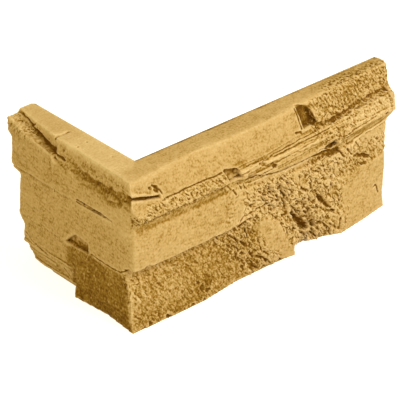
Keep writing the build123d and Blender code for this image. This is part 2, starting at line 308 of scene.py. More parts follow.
SEAMS = (
    # Beds, groove and undercut, with painted shade along the ledge's lower edge and under the undercut's
    # lip
    Seam(LONG, ((4, 82), (30, 82), (50, 81.5)), 0.7, 0.7, 0.05),
    Seam(LONG, ((69, 71.5), (76, 71), (82, 67.5)), 0.8, 0.9, 0.12),
    Seam(LONG, ((84, 67), (95, 64.8), (108, 64), (116, 63.4), (128, 63.6)), 1.1, 1.2, 0.26),
    Seam(LONG, ((123, 63.6), (137, 62.8), (142, 62)), 1.7, 2.0, 0.45),
    Seam(LONG, ((137, 60.8), (143, 60), (150, 59)), 2.4, 0.9, 0.42),
    Seam(LONG, ((131, 68), (139, 66.8), (149, 66)), 2.0, -1.0, -0.3),
    Seam(LONG, ((64, 76.5), (87, 75.3), (106, 74.3), (146, 74.3)), 2.2, -0.9, -0.14),
    Seam(LONG, ((90, 78), (114, 79), (135, 80.3)), 0.6, 0.5, 0.08),
    Seam(LONG, ((93, 76.3), (118, 77), (142, 78)), 0.6, 0.5, 0.08),
    # Corner of the top course, with painted shade in its slot
    Seam(LONG, ((3, 85), (1, 89), (-4, 93)), 0.9, 0.9, 0.08),
    Seam(LONG, ((-27, 96), (-12, 89.5), (2, 84)), 1.6, -0.5),
    Seam(LONG, ((-23, 90.7), (-10, 86.5), (0, 84.5)), 1.8, 0.3, 0.2),
    # Over the small pit
    Seam(LONG, ((59, 74), (67, 73)), 3.0, -1.2),
    # Round the square pit, and the edge beyond it, with painted shade in the pit's edges and along the foot
    # of the top course
    Seam(LONG, ((116.8, 99), (120, 85)), 0.8, 0.6, 0.15),
    Seam(LONG, ((114, 84), (119, 83)), 1.2, 1.0, 0.25),
    Seam(LONG, ((131, 83), (138, 82)), 1.3, 1.2, 0.25),
    Seam(LONG, ((137, 81.5), (147, 80.5), (157, 81.3), (166, 83), (176, 84.3), (197, 84.7)), 1.2, 0.9, 0.2),
    # Arch and the ridges beside it, with painted highlight along the arch's bright edge
    Seam(LONG, ((154, 60.5), (165, 63.8), (179, 65.5), (190, 68.3)), 1.8, -0.4),
    Seam(LONG, ((162, 57.5), (164.5, 61), (172, 63), (194, 64.5)), 1.4, -0.9, -0.22),
    Seam(LONG, ((149, 66), (153, 68), (162, 70.5), (182, 73)), 0.8, 0.5, 0.06),
    # Short cracks at the end of the middle course, with painted shade in them
    Seam(LONG, ((55, 70), (57, 67.5)), 1.0, 0.7, 0.12),
    Seam(LONG, ((59, 66), (61, 62.5)), 1.0, 0.7, 0.12),
    Seam(LONG, ((63, 69), (66, 65)), 0.9, 0.6, 0.1),
    Seam(LONG, ((68, 66), (70, 63)), 0.8, 0.5, 0.1),
    # Broken middle and its cleft, with painted shade in the cracks
    Seam(LONG, ((62, 41), (66, 44.5), (84, 45), (100, 46)), 1.0, 0.9, 0.12),
    Seam(LONG, ((70, 41), (78, 39.5)), 1.3, 1.3, 0.2),
    Seam(LONG, ((107, 32), (111, 27), (113, 24)), 2.0, 2.4, 0.22),
    Seam(LONG, ((111, 25), (116, 20), (121, 15)), 2.8, 3.2, 0.3),
    Seam(LONG, ((121, 13), (125, 11.5), (127, 14)), 1.8, 2.2, 0.22),
    Seam(LONG, ((133, 32), (137, 27), (140, 23)), 1.9, 2.2, 0.24),
    Seam(LONG, ((139, 20), (145, 18)), 1.5, 1.8, 0.2),
    Seam(LONG, ((111, 34.5), (119, 37)), 1.4, 1.5, 0.15),
    Seam(LONG, ((116, 45), (122, 41)), 1.4, 1.5, 0.2),
    Seam(LONG, ((98, 55), (100, 48), (104, 44)), 1.4, 1.6, 0.2),
    Seam(LONG, ((80, 57), (85, 52), (93, 51)), 1.2, 1.2, 0.15),
    # Foot, with painted shade in the cracks and two ridges painted lighter
    Seam(LONG, ((57, 34), (62, 28)), 1.0, 1.0, 0.14),
    Seam(LONG, ((60, 32), (63, 27)), 1.1, 1.1, 0.16),
    Seam(LONG, ((65, 27), (69, 22)), 0.9, 1.0, 0.16),
    Seam(LONG, ((69, 34), (71, 28)), 0.9, 1.0, 0.16),
    Seam(LONG, ((64, 19), (68, 17)), 1.1, 1.1, 0.16),
    Seam(LONG, ((72, 17), (75, 12)), 1.0, 1.0, 0.16),
    Seam(LONG, ((77, 12), (82, 9)), 1.2, 1.3, 0.2),
    Seam(LONG, ((73, 7), (78, 3)), 1.0, 0.9, 0.14),
    Seam(LONG, ((83, 9), (86, 5)), 1.1, 1.1, 0.18),
    Seam(LONG, ((-23, 34), (-19, 27)), 1.4, -0.4, -0.12),
    Seam(LONG, ((-22, 26), (-17, 18)), 1.2, -0.4, -0.12),
    # Far stretch, with painted shade in the cracks and marks
    Seam(LONG, ((169, 48), (174, 47), (178, 44)), 1.7, 1.6, 0.28),
    Seam(LONG, ((164, 50), (168, 49.5)), 1.2, 1.0, 0.2),
    Seam(LONG, ((171, 41), (175, 40.5)), 1.1, 0.8, 0.15),
    Seam(LONG, ((151, 59), (155, 53)), 1.3, 1.4, 0.2),
    Seam(LONG, ((158, 57), (162, 52)), 1.0, 1.1, 0.15),
    Seam(LONG, ((182, 19.5), (186, 20), (188, 14)), 1.0, 1.0, 0.15),
    Seam(LONG, ((150, 11), (148.5, 4)), 1.2, 1.2, 0.18),
    # Short leg: foot, strip, slot, lid and corner, with painted shade in the slot, under the lid and under
    # the overhang over the foot's block, and painted light on the shaded face beside the corner
    Seam(SHORT, ((83, 20.5), (74, 16), (61, 13.3), (48, 9.2), (41, 4)), 0.9, 0.8, 0.08),
    Seam(SHORT, ((-21, 89), (-12, 87.5), (2, 86.5), (16, 86), (30, 87)), 5.5, 1.3),
    Seam(SHORT, ((-8, 84), (12, 83.6), (32, 83.8), (41, 86.2), (49, 89.5)), 2.8, -0.5, -0.05),
    Seam(SHORT, ((-5, 68.3), (10, 67.6), (29, 66.9)), 0.6, 0.8, 0.3),
    Seam(SHORT, ((34, 88), (42, 89.3), (51, 90.5)), 2.2, -0.6),
    Seam(SHORT, ((41, 90), (51, 90.6), (62, 93), (78, 96.5), (87, 98), (95, 99.3)), 1.1, 1.1, 0.24),
    Seam(SHORT, ((-20, 41), (-12, 36), (-2, 35), (16, 35.5)), 0.7, 0.6, 0.1),
    Seam(SHORT, ((-21, 35), (-24.5, 18), (-26, 8)), 5.5, 0.3, -0.36),
)

SHADING_AND_STAINS = (
    # Painted shade in the square pit, the small pit and under the undercut
    ShadingOrStain(LONG, (112, 125), (80, 97.5), 0.42, 1.5, (10.5, 16.5)),
    ShadingOrStain(LONG, (124, 131.5), (80, 97.5), 0.34, 1.5, (10.5, 17.0)),
    ShadingOrStain(LONG, (130, 135.5), (80, 88), 0.2, 1.5, (10.5, 18.8)),
    ShadingOrStain(LONG, (50, 69), (70, 83), 0.13, 1.5, (-5, 23.4)),
    ShadingOrStain(LONG, (128, 152), (57.5, 65.5), 0.28, 1.5, (-5, 21.3)),
    # Beds, middle course, broken middle and far stretch
    ShadingOrStain(LONG, (-25, 52), (70, 78), 0.06, 4),
    ShadingOrStain(LONG, (162, 184), (38, 53), 0.12, 6),
    # Painted shade in the groove under the narrow bed, then under the ledge over the arch
    ShadingOrStain(LONG, (-20, 60), (64, 71), 0.10, 4),
    ShadingOrStain(LONG, (158, 192), (65, 71), 0.15, 4),
    ShadingOrStain(LONG, (155, 205), (71, 83), -0.15, 5),
    ShadingOrStain(LONG, (160, 195), (50, 62), -0.11, 5),
    ShadingOrStain(LONG, (60, 150), (36, 65), -0.07, 8),
    ShadingOrStain(LONG, (150, 210), (-5, 40), -0.03, 8),
    ShadingOrStain(LONG, (62, 165), (66, 84), 0.10, 6),
    ShadingOrStain(LONG, (150, 166), (54, 60), -0.08, 4),
    # Foot
    ShadingOrStain(LONG, (-40, 62), (-5, 39), 0.11, 6),
    ShadingOrStain(LONG, (15, 78), (0, 34), 0.07, 14),
    ShadingOrStain(LONG, (-40, 30), (-5, 10), 0.08, 6),
    ShadingOrStain(LONG, (62, 80), (0, 38), 0.13, 8),
    ShadingOrStain(LONG, (26, 38), (3, 15), 0.22, 5),
    # Top course
    ShadingOrStain(LONG, (-10, 15), (86, 97), 0.02, 6),
    ShadingOrStain(LONG, (136, 215), (85, 105), 0.05, 8),
    ShadingOrStain(LONG, (155, 215), (85, 105), 0.09, 14),
    # Painted shade in the slot at the corner of the top course
    ShadingOrStain(LONG, (-40, 2), (82, 94), 0.24, 2.0, (-5, 20.0)),
    # Short leg: block of the foot, painted darker, and hooked hollow, with painted shade in it and painted
    # light on the shaded underside of its roof
    ShadingOrStain(SHORT, (-40, 40), (-5, 34.5), 0.28, 5),
    ShadingOrStain(SHORT, (-30, 34), (-5, 14), 0.07, 10),
    ShadingOrStain(SHORT, (31, 43), (34.5, 46), -0.1, 2.5, (-5, 20.5)),
    ShadingOrStain(SHORT, (17, 31), (34.5, 39), 0.12, 2.0, (-5, 20.5)),
    ShadingOrStain(SHORT, (32, 44), (-5, 18), -0.12, 6),
    # Short leg: strip and the courses round it, with painted shade on the strip under the top course and
    # under the lid
    ShadingOrStain(SHORT, (-30, 28), (80.5, 89.5), 0.25, 5),
    ShadingOrStain(SHORT, (28, 46), (85, 91), 0.12, 4),
    ShadingOrStain(SHORT, (-22, 45), (89, 98), 0.06, 5),
    ShadingOrStain(SHORT, (-20, 12), (58, 80), -0.05, 8),
    # Short leg: ledge of the hollow, and sole
    ShadingOrStain(SHORT, (18, 42), (32.5, 34.8), 0.02, 1.0),
    # Painted highlight on the lit top of the sole's lip
    ShadingOrStain(SHORT, (38, 84), (8.5, 12.5), -0.14, 2),
    ShadingOrStain(SHORT, (40, 56), (15, 20), 0.08, 4),
    # Short leg: top and its rim painted lighter, as painted light on the upward faces
    ShadingOrStain(SHORT, (-5, 110), (96, 105), -0.16, 4),
    ShadingOrStain(SHORT, (-18, 45), (98, 105), -0.12, 4),
)

SOFTENINGS = (
    # Narrow rough bed
    Softening(LONG, FROM_CORNER, (52, 66), (66, 70), (76, 79), 0.7),
    # Short leg: side of the foot's block
    Softening(SHORT, (24, 28), (38, 42), (5, 10), (30, 34), 0.8),
    # Short leg: strip under the top course
    Softening(SHORT, FROM_CORNER, (44, 50), (77, 80), (89, 92), 0.8),
)

# How many finer layers spots have
SPOT_DETAIL = 2.0

# Painted shade in small hollows and painted highlight on small crests, then on broad ones, round the tone
# of plain stone
PLAIN_TONE = 0.5
HOLLOW_SHADING = (
    HollowShading(3, 1.8, -0.4, 0.2),
    HollowShading(30, 0.5, -0.35, 0.14),
)


def ease(value: Array, low: float, high: float) -> Array:
    """Smooth step from 0 at low to 1 at high."""
    t = np.clip((value - low) / (high - low), 0.0, 1.0)
    return t * t * (3.0 - 2.0 * t)


def plateau(value: Array, rise: Range, fall: Range) -> Array:
    """1 between two ranges of values, easing to 0 over each of them."""
    return ease(value, *rise) * (1.0 - ease(value, *fall))


def between(value: Array, span: Range, feather: float) -> Array:
    """1 within a span of values, easing to 0 over the feather's width at each end."""
    half = feather / 2.0
    return plateau(value, (span[0] - half, span[0] + half), (span[1] - half, span[1] + half))


@dataclass
class StoneNoise:
    """Seeded solid noise over many points at once, so that each run gives the same stone.

    Table is how many values its lattice has, and a power of two. Gain brings the waves to about -1
    to 1, shift parts the octaves, and margin and room say where in its cell a seed may lie.
    """

    seed: int = 7
    table: int = 256
    gain: float = 1.6
    shift: float = 17.3
    margin: float = 0.15
    room: float = 0.7

    def __post_init__(self) -> None:
        """Shuffle the lattice."""
        rng = np.random.default_rng(self.seed)
        order = rng.permutation(self.table)
        self.order = np.concatenate([order, order, order])
        slopes = rng.normal(size=(self.table, 3))
        self.slopes = slopes / np.linalg.norm(slopes, axis=1, keepdims=True)
        self.values = rng.random((self.table, 4))

    def _hash(self, cell: Array) -> Array:
        """Table index of each lattice cell."""
        c = cell & (self.table - 1)
        return self.order[self.order[self.order[c[:, 0]] + c[:, 1]] + c[:, 2]]

    def _seeds(self, points: Array, size: float) -> Iterator[tuple[Array, Array, Array]]:
        """Go through the seeds round each point, one in each cell near it.

        Args:
            points: n by 3 places.
            size: a cell's width.

        Yields:
            The seeds' table indexes, and the ways from them to the points and their lengths, in cells.
        """
        q = points / size
        cell = np.floor(q).astype(int)
        for corner in product((-1, 0, 1), repeat=3):
            c = cell + np.array(corner)
            key = self._hash(c)
            gap = q - (c + self.margin + self.room * self.values[key, :3])
            yield key, gap, np.sqrt(np.einsum("ij,ij->i", gap, gap))

    def waves(self, points: Array, size: float) -> Array:
        """Smooth noise.

        Args:
            points: n by 3 places.
            size: how far apart its humps are, in the points' units.

        Returns:
            About -1 to 1 at each point.
        """
        q = points / size
        cell = np.floor(q).astype(int)
        f = q - cell
        fade = f * f * f * (f * (f * 6.0 - 15.0) + 10.0)
        total = np.zeros(len(points))
        for corner in product((0, 1), repeat=3):
            c = np.array(corner)
            slope = self.slopes[self._hash(cell + c)]
            share = np.prod(np.where(c == 1, fade, 1.0 - fade), axis=1)
            total += share * np.einsum("ij,ij->i", slope, f - c)
        return total * self.gain

    def rubble(self, points: Array, size: float, octaves: int, keep: float = 0.5) -> Array:
        """Sum of waves, each octave half the size of the last.

        Args:
            points: n by 3 places.
            size: the largest octave's size.
            octaves: how many octaves.
            keep: each octave's height over the last one's.

        Returns:
            About -1 to 1 at each point.
        """
        total = np.zeros(len(points))
        height = 1.0
        for octave in range(octaves):
            total += height * self.waves(points + self.shift * octave, size / 2**octave)
            height *= keep
        return total

    def flakes(self, points: Array, size: float, slope: float) -> Array:
        """Broken facets: each seeded cell has its own height and its own tilt.

        Args:
            points: n by 3 places.
            size: a cell's width.
            slope: how steeply the cells tilt.

        Returns:
            Height of the facet at each point, about -1 to 1.
        """
        nearest = np.full(len(points), np.inf)
        height = np.zeros(len(points))
        for key, gap, away in self._seeds(points, size):
            closer = away < nearest
            tilt = np.einsum("ij,ij->i", self.slopes[key], gap)
            height = np.where(closer, 2.0 * self.values[key, 3] - 1.0 + slope * tilt, height)
            nearest = np.where(closer, away, nearest)
        return height

    def holes(self, points: Array, size: float, crowd: float) -> Array:
        """Round holes of many sizes, one in some of the seeded cells.

        Args:
            points: n by 3 places.
            size: a cell's width.
            crowd: share of the cells that have a hole.

        Returns:
            Depth at each point, 0 outside the holes and 1 at their bottoms.
        """
        depth = np.zeros(len(points))
        for key, _, away in self._seeds(points, size):
            draw = self.values[key, 3] / crowd
            reach = 0.75 - 0.45 * draw
            hole = 1.0 - ease(away / reach, 0.25, 1.0)
            depth = np.maximum(depth, np.where(draw < 1.0, hole, 0.0))
        return depth


@dataclass
class Carving:
    """The relief of one casting, worked out for all the points of its mesh at once."""

    places: Array
    normals: Array
    noise: StoneNoise = field(default_factory=StoneNoise)

    def __post_init__(self) -> None:
        """Split the points on the mitre of the outer corner, and make the waves that edges follow."""
        side = ease(self.places[:, 0] - self.places[:, 1], -1.5, 1.5)
        self.sides = {LONG: side, SHORT: 1.0 - side}
        self.rag = self.noise.waves(self.places + 41.0, 9.0)
        self.fray = self.noise.waves(self.places + 61.0, 7.0)

    def along(self, leg: Leg) -> Array:
        """Distance from the inner corner along a leg."""
        return self.places[:, 0] if leg is LONG else self.places[:, 1]

    def outward(self, leg: Leg) -> Array:
        """Distance out from the wall face of a leg."""
        return -self.places[:, 1] if leg is LONG else -self.places[:, 0]

    def near(self, leg: Leg, along: Range, up: Range) -> Array:
        """Find a leg's points in a stretch of its face.

        Args:
            leg: the leg.
            along: the stretch's range along the leg.
            up: its range of heights.

        Returns:
            Their indexes.
        """
        a = self.along(leg)
        z = self.places[:, 2]
        inside = (a > along[0]) & (a < along[1]) & (z > up[0]) & (z < up[1])
        return np.flatnonzero(inside & (self.sides[leg] > 0.0))

    def outer(self) -> Array:
        """Find the split faces.

        Returns:
            1 on them, falling to 0 on the backs, the base and the plain part of the top.
        """
        x, y, z = self.places.T
        tilt = self.normals[:, 2]
        share = ease(np.where(x > y, -y, -x), *BACK_FADE)
        plain_top = 1.0 - ease(x + 3.0 * self.rag, *ROUGH_TOP)
        share *= 1.0 - ease(tilt, *TOP_TILT) * ease(z, *TOP_FADE) * plain_top
        share *= 1.0 - ease(-tilt, *BED_TILT) * (1.0 - ease(z, *BED_FADE))
        return share

    def softening(self) -> Array:
        """Find the edges that are worn rounder than the rest.

        Returns:
            0 to about 1 at each point.
        """
        x, y, z = self.places.T
        rim = self.sides[LONG] * plateau(x, FROM_CORNER, RIM_END) * ease(z, *RIM_UP)
        rim *= 0.75 + 0.6 * self.noise.waves(self.places, 14.0)
        corner = 1.0 - ease(np.hypot(x - CORNER_MIDDLE[0], y - CORNER_MIDDLE[1]), *CORNER_REACH)
        corner *= plateau(z, CORNER_FOOT, CORNER_HEAD)
        shares = [rim, CORNER_WEAR * corner]
        for row in SOFTENINGS:
            share = self.sides[row.leg] * plateau(self.along(row.leg), row.start, row.end)
            share *= plateau(z, row.foot, row.head)
            shares.append(row.strength * share)
        return np.clip(np.maximum.reduce(shares), 0.0, 1.0)

    @staticmethod
    def grained(p: Array) -> Array:
        """Turn places to the split's grain and shorten them along it, so that noise there is drawn out.

        Args:
            p: n by 3 places.

        Returns:
            The places along the grain, across it and out from the wall face.
        """
        long = p[:, 0] > p[:, 1]
        a = np.where(long, p[:, 0], p[:, 1])
        out = np.where(long, p[:, 1], p[:, 0])
        down = a * math.cos(GRAIN_DIP) - p[:, 2] * math.sin(GRAIN_DIP)
        across = a * math.sin(GRAIN_DIP) + p[:, 2] * math.cos(GRAIN_DIP)
        return np.stack([down / GRAIN_DRAW, across, out], axis=1)

    def bend(self, p: Array) -> Array:
        """Shifts that bend the noise of broken stone, so that its cells aren't straight."""
        return np.stack([self.noise.waves(p + 10.0 * k, 5.0) for k in (1, 2, 3)], axis=1)

    # In these four methods a layer's first factor is its height, and the first number in it its size

    def sandy(self, p: Array) -> Array:
        """Worn stone: low swells, faint level streaks and fine sand.

        Args:
            p: n by 3 places.

        Returns:
            Relief in millimetres.
        """
        level = p * np.array([0.3, 0.3, 1.0])
        level[:, 2] += np.where(p[:, 0] > p[:, 1], 0.2 * p[:, 0], -0.03 * p[:, 1])
        swells = 0.25 * self.noise.rubble(p, 14.0, 2)
        streaks = 0.1 * self.noise.waves(level, 1.9)
        sand = 0.1 * self.noise.waves(p, 1.6)
        return swells + streaks + sand

    def split(self, p: Array) -> Array:
        """Split stone: facets and splinters along the grain, over low swells.

        Args:
            p: n by 3 places.

        Returns:
            Relief in millimetres.
        """
        q = self.grained(p)
        bend = self.bend(p)
        swells = 0.3 * self.noise.rubble(p, 15.0, 2)
        facets = 0.7 * self.noise.flakes(q + bend, 4.4, 1.6)
        splinters = 0.4 * self.noise.flakes(q + 0.5 * bend, 1.9, 1.5)
        return swells + facets + splinters

    def pitted(self, p: Array) -> Array:
        """Pitted stone: grit, chips and holes along the grain, crowded in some places, over hummocks.

        Args:
            p: n by 3 places.

        Returns:
            Relief in millimetres.
        """
        q = self.grained(p)
        bend = self.bend(p)
        crowd = 0.35 + 0.65 * ease(self.noise.waves(p + 30.0, 12.0), -0.25, 0.3)
        large = 0.6 * self.noise.holes(q + 0.5 * bend + 50.0, 3.3, 0.25)
        small = 0.5 * self.noise.holes(q + 0.25 * bend, 1.5, 0.42)
        chips = 0.3 * self.noise.flakes(q + 0.3 * bend, 2.0, 1.4)
        grit = 0.26 * self.noise.rubble(q, 2.4, 3, 0.85)
        hummocks = 0.3 * self.noise.waves(q + 90.0, 5.5) - 0.1
        return hummocks + (grit + chips) - crowd * (large + small)

    def leaved(self, p: Array) -> Array:
        """Leaved stone: thin, nearly level leaves that end in small steps.

        Args:
            p: n by 3 places.

        Returns:
            Relief in millimetres.
        """
        sag = p[:, 2] - 0.03 * p[:, 0] + self.noise.waves(p * np.array([0.25, 0.25, 0.6]), 9.0)
        leaf = np.stack([p[:, 0] * 0.015, p[:, 1] * 0.015, sag / 2.1], axis=1)
        return 0.65 * self.noise.flakes(leaf, 1.0, 0.5) + 0.15 * self.noise.waves(p, 2.0)

    def zone_share(self, zone: Zone) -> Array:
        """Find how much of a zone's break each point takes.

        Args:
            zone: the zone.

        Returns:
            0 to the zone's strength at each point.
        """
        z = self.places[:, 2]
        a = self.along(zone.leg) + zone.lean * (z - sum(zone.up) / 2.0)
        rag = self.rag * zone.feather * 0.8
        share = between(a + rag, zone.along, zone.feather)
        share *= between(z + rag * 0.4, zone.up, zone.feather)
        return share * self.sides[zone.leg] * zone.strength

    def kind_share(self, kind: Break) -> Array:
        """How much of one sort of break each point takes, from all its zones."""
        return sum(self.zone_share(zone) for zone in ZONES if zone.kind is kind)

    def pit_share(self, pit: Pit) -> tuple[Array, Array]:
        """Find where one hole is.

        Args:
            pit: the hole.

        Returns:
            Indexes of the points near it, and how much of its depth each takes.
        """
        span = 1.6 * pit.reach * pit.stretch
        along = (pit.along - span, pit.along + span)
        here = self.near(pit.leg, along, (pit.up - span, pit.up + span))
        p = self.places[here]
        a = self.along(pit.leg)[here] - pit.along
        z = p[:, 2] - pit.up
        turn = math.radians(pit.turn)
        across = (a * math.cos(turn) - z * math.sin(turn)) / pit.stretch
        down = a * math.sin(turn) + z * math.cos(turn)
        ragged = 1.0 + 0.7 * self.noise.waves(p + 13.0, 0.9 * pit.reach + 0.8)
        away = np.hypot(across, down) / pit.reach * ragged
        return here, (1.0 - ease(away, 0.45, 1.05)) * self.sides[pit.leg][here]

    def seam_share(self, seam: Seam) -> tuple[Array, Array]:
        """Find where one crack or ridge is.

        Args:
            seam: the crack or ridge.

        Returns:
            Indexes of the points near it, and how much of it each takes, 1 along its middle.
        """
        span = 2.0 * seam.width + 1.0
        low = np.min(seam.route, axis=0) - span
        high = np.max(seam.route, axis=0) + span
        here = self.near(seam.leg, (low[0], high[0]), (low[1], high[1]))
        p = self.places[here]
        a = self.along(seam.leg)[here]
        z = p[:, 2] + 0.5 * self.noise.waves(p + 5.0, 6.0)
        away = np.full(len(a), np.inf)
        for (a0, z0), (a1, z1) in zip(seam.route, seam.route[1:]):
            length = math.hypot(a1 - a0, z1 - z0)
            t = np.clip(((a - a0) * (a1 - a0) + (z - z0) * (z1 - z0)) / length**2, 0.0, 1.0)
            away = np.minimum(away, np.hypot(a - a0 - t * (a1 - a0), z - z0 - t * (z1 - z0)))
        ragged = 1.0 + 0.5 * self.noise.waves(p + 23.0, 2.0 + seam.width)
        share = 1.0 - ease(away * ragged, 0.2 * seam.width, seam.width)
        return here, share * self.sides[seam.leg][here]

    def shading_or_stain_share(self, shading_or_stain: ShadingOrStain) -> Array:
        """Find how much darker a patch of painted shade, painted light or stain makes each point.

        Args:
            shading_or_stain: the patch.

        Returns:
            0 to the patch's strength at each point.
        """
        rag = self.fray * shading_or_stain.feather * 0.6
        share = shading_or_stain.strength * self.sides[shading_or_stain.leg]
        share *= between(self.along(shading_or_stain.leg) + rag, shading_or_stain.along, shading_or_stain.feather)
        share *= between(self.places[:, 2] + rag, shading_or_stain.up, shading_or_stain.feather)
        out = self.outward(shading_or_stain.leg)
        share *= 1.0 - ease(out, shading_or_stain.out[1] - 0.8, shading_or_stain.out[1] + 0.8)
        return share * (out > shading_or_stain.out[0])

    def top_cracks(self) -> Array:
        """Work out the crack across the short leg's top and the pin holes beside it.

        Returns:
            How far each point drops, in millimetres.
        """
        x, y, z = self.places.T
        line = y - TOP_CRACK - 0.6 * self.noise.waves(self.places, 4.0)
        drop = TOP_CRACK_DEPTH * (1.0 - ease(np.abs(line), *MARK_SIDES)) * ease(-x, 6.0, 8.0)
        for hole_x, hole_y in PIN_HOLES:
            drop += PIN_DEPTH * (1.0 - ease(np.hypot(x - hole_x, y - hole_y), *MARK_SIDES))
        return drop * ease(z, 98.0, 99.5)

    def height(self) -> Array:
        """Work out the whole relief.

        Returns:
            How far each point stands out of the solid's own faces, in millimetres.
        """
        recipes = {SANDY: self.sandy, SPLIT: self.split, PITTED: self.pitted, LEAVED: self.leaved}
        relief = np.zeros(len(self.places))
        for kind, recipe in recipes.items():
            share = self.kind_share(kind)
            here = share > 0.0
            relief[here] += share[here] * recipe(self.places[here])
        for pit in PITS:
            here, share = self.pit_share(pit)
            relief[here] -= pit.depth * share
        for seam in SEAMS:
            here, share = self.seam_share(seam)
            relief[here] -= seam.depth * share
        outer = self.outer()
        x, y, z = self.places.T
        plain = 0.12 * self.noise.rubble(self.places, 8.0, 3) * (1.0 - outer)
        return relief * outer + plain * ease(z, *BED_FADE) * ease(np.maximum(-x, -y), 0.5, 3.0)


class Graph:
    """The nodes of a material or a world, with short ways to add and join them."""

    def __init__(self, owner: bpy.types.Material | bpy.types.World) -> None:
        """Turn the owner's nodes on.

        Args:
            owner: the material or world.
        """
        owner.use_nodes = True
        self.nodes = owner.node_tree.nodes
        self.links = owner.node_tree.links

    def feed(self, node: bpy.types.Node, inputs: Inputs) -> bpy.types.Node:
        """Set or join a node's inputs.

        Args:
            node: the node.
            inputs: for an input's name or number, its value or the output that it is joined to.

        Returns:
            The same node.
        """
        for key, value in inputs.items():
            if isinstance(value, bpy.types.NodeSocket):
                self.links.new(value, node.inputs[key])
            else:
                node.inputs[key].default_value = value
        return node

    def add(self, kind: str, inputs: Inputs) -> bpy.types.Node:
        """Add a node of a kind, and set or join its inputs as feed does."""
        return self.feed(self.nodes.new(kind), inputs)

    def reckon(self, operation: str, *values: bpy.types.NodeSocket | float) -> bpy.types.NodeSocket:
        """Add a sum.

        Args:
            operation: what it does, by the Math node's own name for it.
            values: what it works on.

        Returns:
            The result's output.
        """
        node = self.add("ShaderNodeMath", dict(enumerate(values)))
        node.operation = operation
        return node.outputs["Value"]

    def speckle(self, place: bpy.types.NodeSocket, size: float) -> bpy.types.NodeSocket:
        """Add spots of a size in metres, and give their output, 0 to 1 round a mean of a half."""
        inputs = {"Vector": place, "Scale": 1.0 / size, "Detail": SPOT_DETAIL}
        return self.add("ShaderNodeTexNoise", inputs).outputs["Fac"]

    def attribute(self, name: str) -> bpy.types.NodeSocket:
        """Add a value that the mesh stores at its points.

        Args:
            name: the value's name.

        Returns:
            Its output.
        """
        node = self.nodes.new("ShaderNodeAttribute")
        node.attribute_name = name
        return node.outputs["Fac"]


@dataclass(frozen=True)
class CastStoneFinish:
    """Ochre cast stone: its colours, in linear light, and the sizes of its grain in metres.

    Its colours run from hollow, at a tone of 0, to crest, at 1, with the body at the plain tone; the dark
    end gives the painted shade of hollows, pits and undercuts, and the light end the painted highlight on
    crests.
    Mottle has the size and the weight of each layer of spots.
    """

    name: str = "cast_stone"
    # The hollow and shade colours show painted shade, and the crest colour painted highlight
    crest: Colour = (0.82, 0.60, 0.31)
    body: Colour = (0.60, 0.389, 0.149)
    shade: Colour = (0.335, 0.181, 0.022)
    hollow: Colour = (0.165, 0.066, 0.002)
    shade_tone: float = 0.25
    mottle: tuple[tuple[float, float], ...] = ((0.022, 0.25), (0.004, 0.35), (0.0013, 0.7))
    chip_size: float = 0.0012
    chip_weight: float = 1.1
    roughness: Range = (0.85, 0.98)
    shine: float = 0.15
    grain_depth: float = 0.00025
    chip_depth: float = 1.5

    def material(self) -> bpy.types.Material:
        """Make the material.

        Returns:
            The finished material.
        """
        made = bpy.data.materials.new(self.name)
        graph = Graph(made)
        place = graph.nodes.new("ShaderNodeTexCoord").outputs["Object"]
        spots = [graph.speckle(place, size) for size, _ in self.mottle]
        chips = self.chips(graph, place)

        # The tone carries painted shade and highlight besides the stone's own tone; spots and chips vary it
        # at random
        tone = graph.attribute("tone")
        for spot, (_, weight) in zip(spots, self.mottle):
            tone = graph.reckon("MULTIPLY_ADD", graph.reckon("SUBTRACT", spot, 0.5), weight, tone)
        tone = graph.reckon("MULTIPLY_ADD", chips, self.chip_weight, tone)

        rough = {"Value": spots[-1], "To Min": self.roughness[0], "To Max": self.roughness[1]}
        grain = graph.reckon("MULTIPLY_ADD", chips, self.chip_depth, spots[-1])
        bump = {"Distance": self.grain_depth, "Strength": 1.0, "Height": grain}
        inputs = {
            "Base Color": self.colours(graph, tone),
            "Roughness": graph.add("ShaderNodeMapRange", rough).outputs["Result"],
            "Normal": graph.add("ShaderNodeBump", bump).outputs["Normal"],
            "Specular IOR Level": self.shine,
        }
        graph.feed(graph.nodes["Principled BSDF"], inputs)
        return made

    def chips(self, graph: Graph, place: bpy.types.NodeSocket) -> bpy.types.NodeSocket:
        """Make the small chips of the broken stretches, drawn out along the grain.

        Args:
            graph: the material's nodes.
            place: where they are read.

        Returns:
            Their output, round 0, and 0 where the stone isn't broken.
        """
        turn = {"Vector": place, "Rotation": (0.0, GRAIN_DIP, 0.0), "Scale": (GRAIN_DRAW, 1.0, 1.0)}
        turned = graph.nodes.new("ShaderNodeMapping")
        turned.vector_type = "TEXTURE"
        graph.feed(turned, turn)
        chips = graph.speckle(turned.outputs["Vector"], self.chip_size)
        return graph.reckon("MULTIPLY", graph.reckon("SUBTRACT", chips, 0.5), graph.attribute("broken"))

    def colours(self, graph: Graph, tone: bpy.types.NodeSocket) -> bpy.types.NodeSocket:
        """Turn tones into colours.

        Args:
            graph: the material's nodes.
            tone: the output that says how light the stone is.

        Returns:
            The colour's output.
        """
        node = graph.add("ShaderNodeValToRGB", {"Fac": tone})
        ramp = node.color_ramp.elements
        ramp[0].color = (*self.hollow, 1.0)
        ramp[1].color = (*self.crest, 1.0)
        ramp.new(self.shade_tone).color = (*self.shade, 1.0)
        ramp.new(PLAIN_TONE).color = (*self.body, 1.0)
        return node.outputs["Color"]


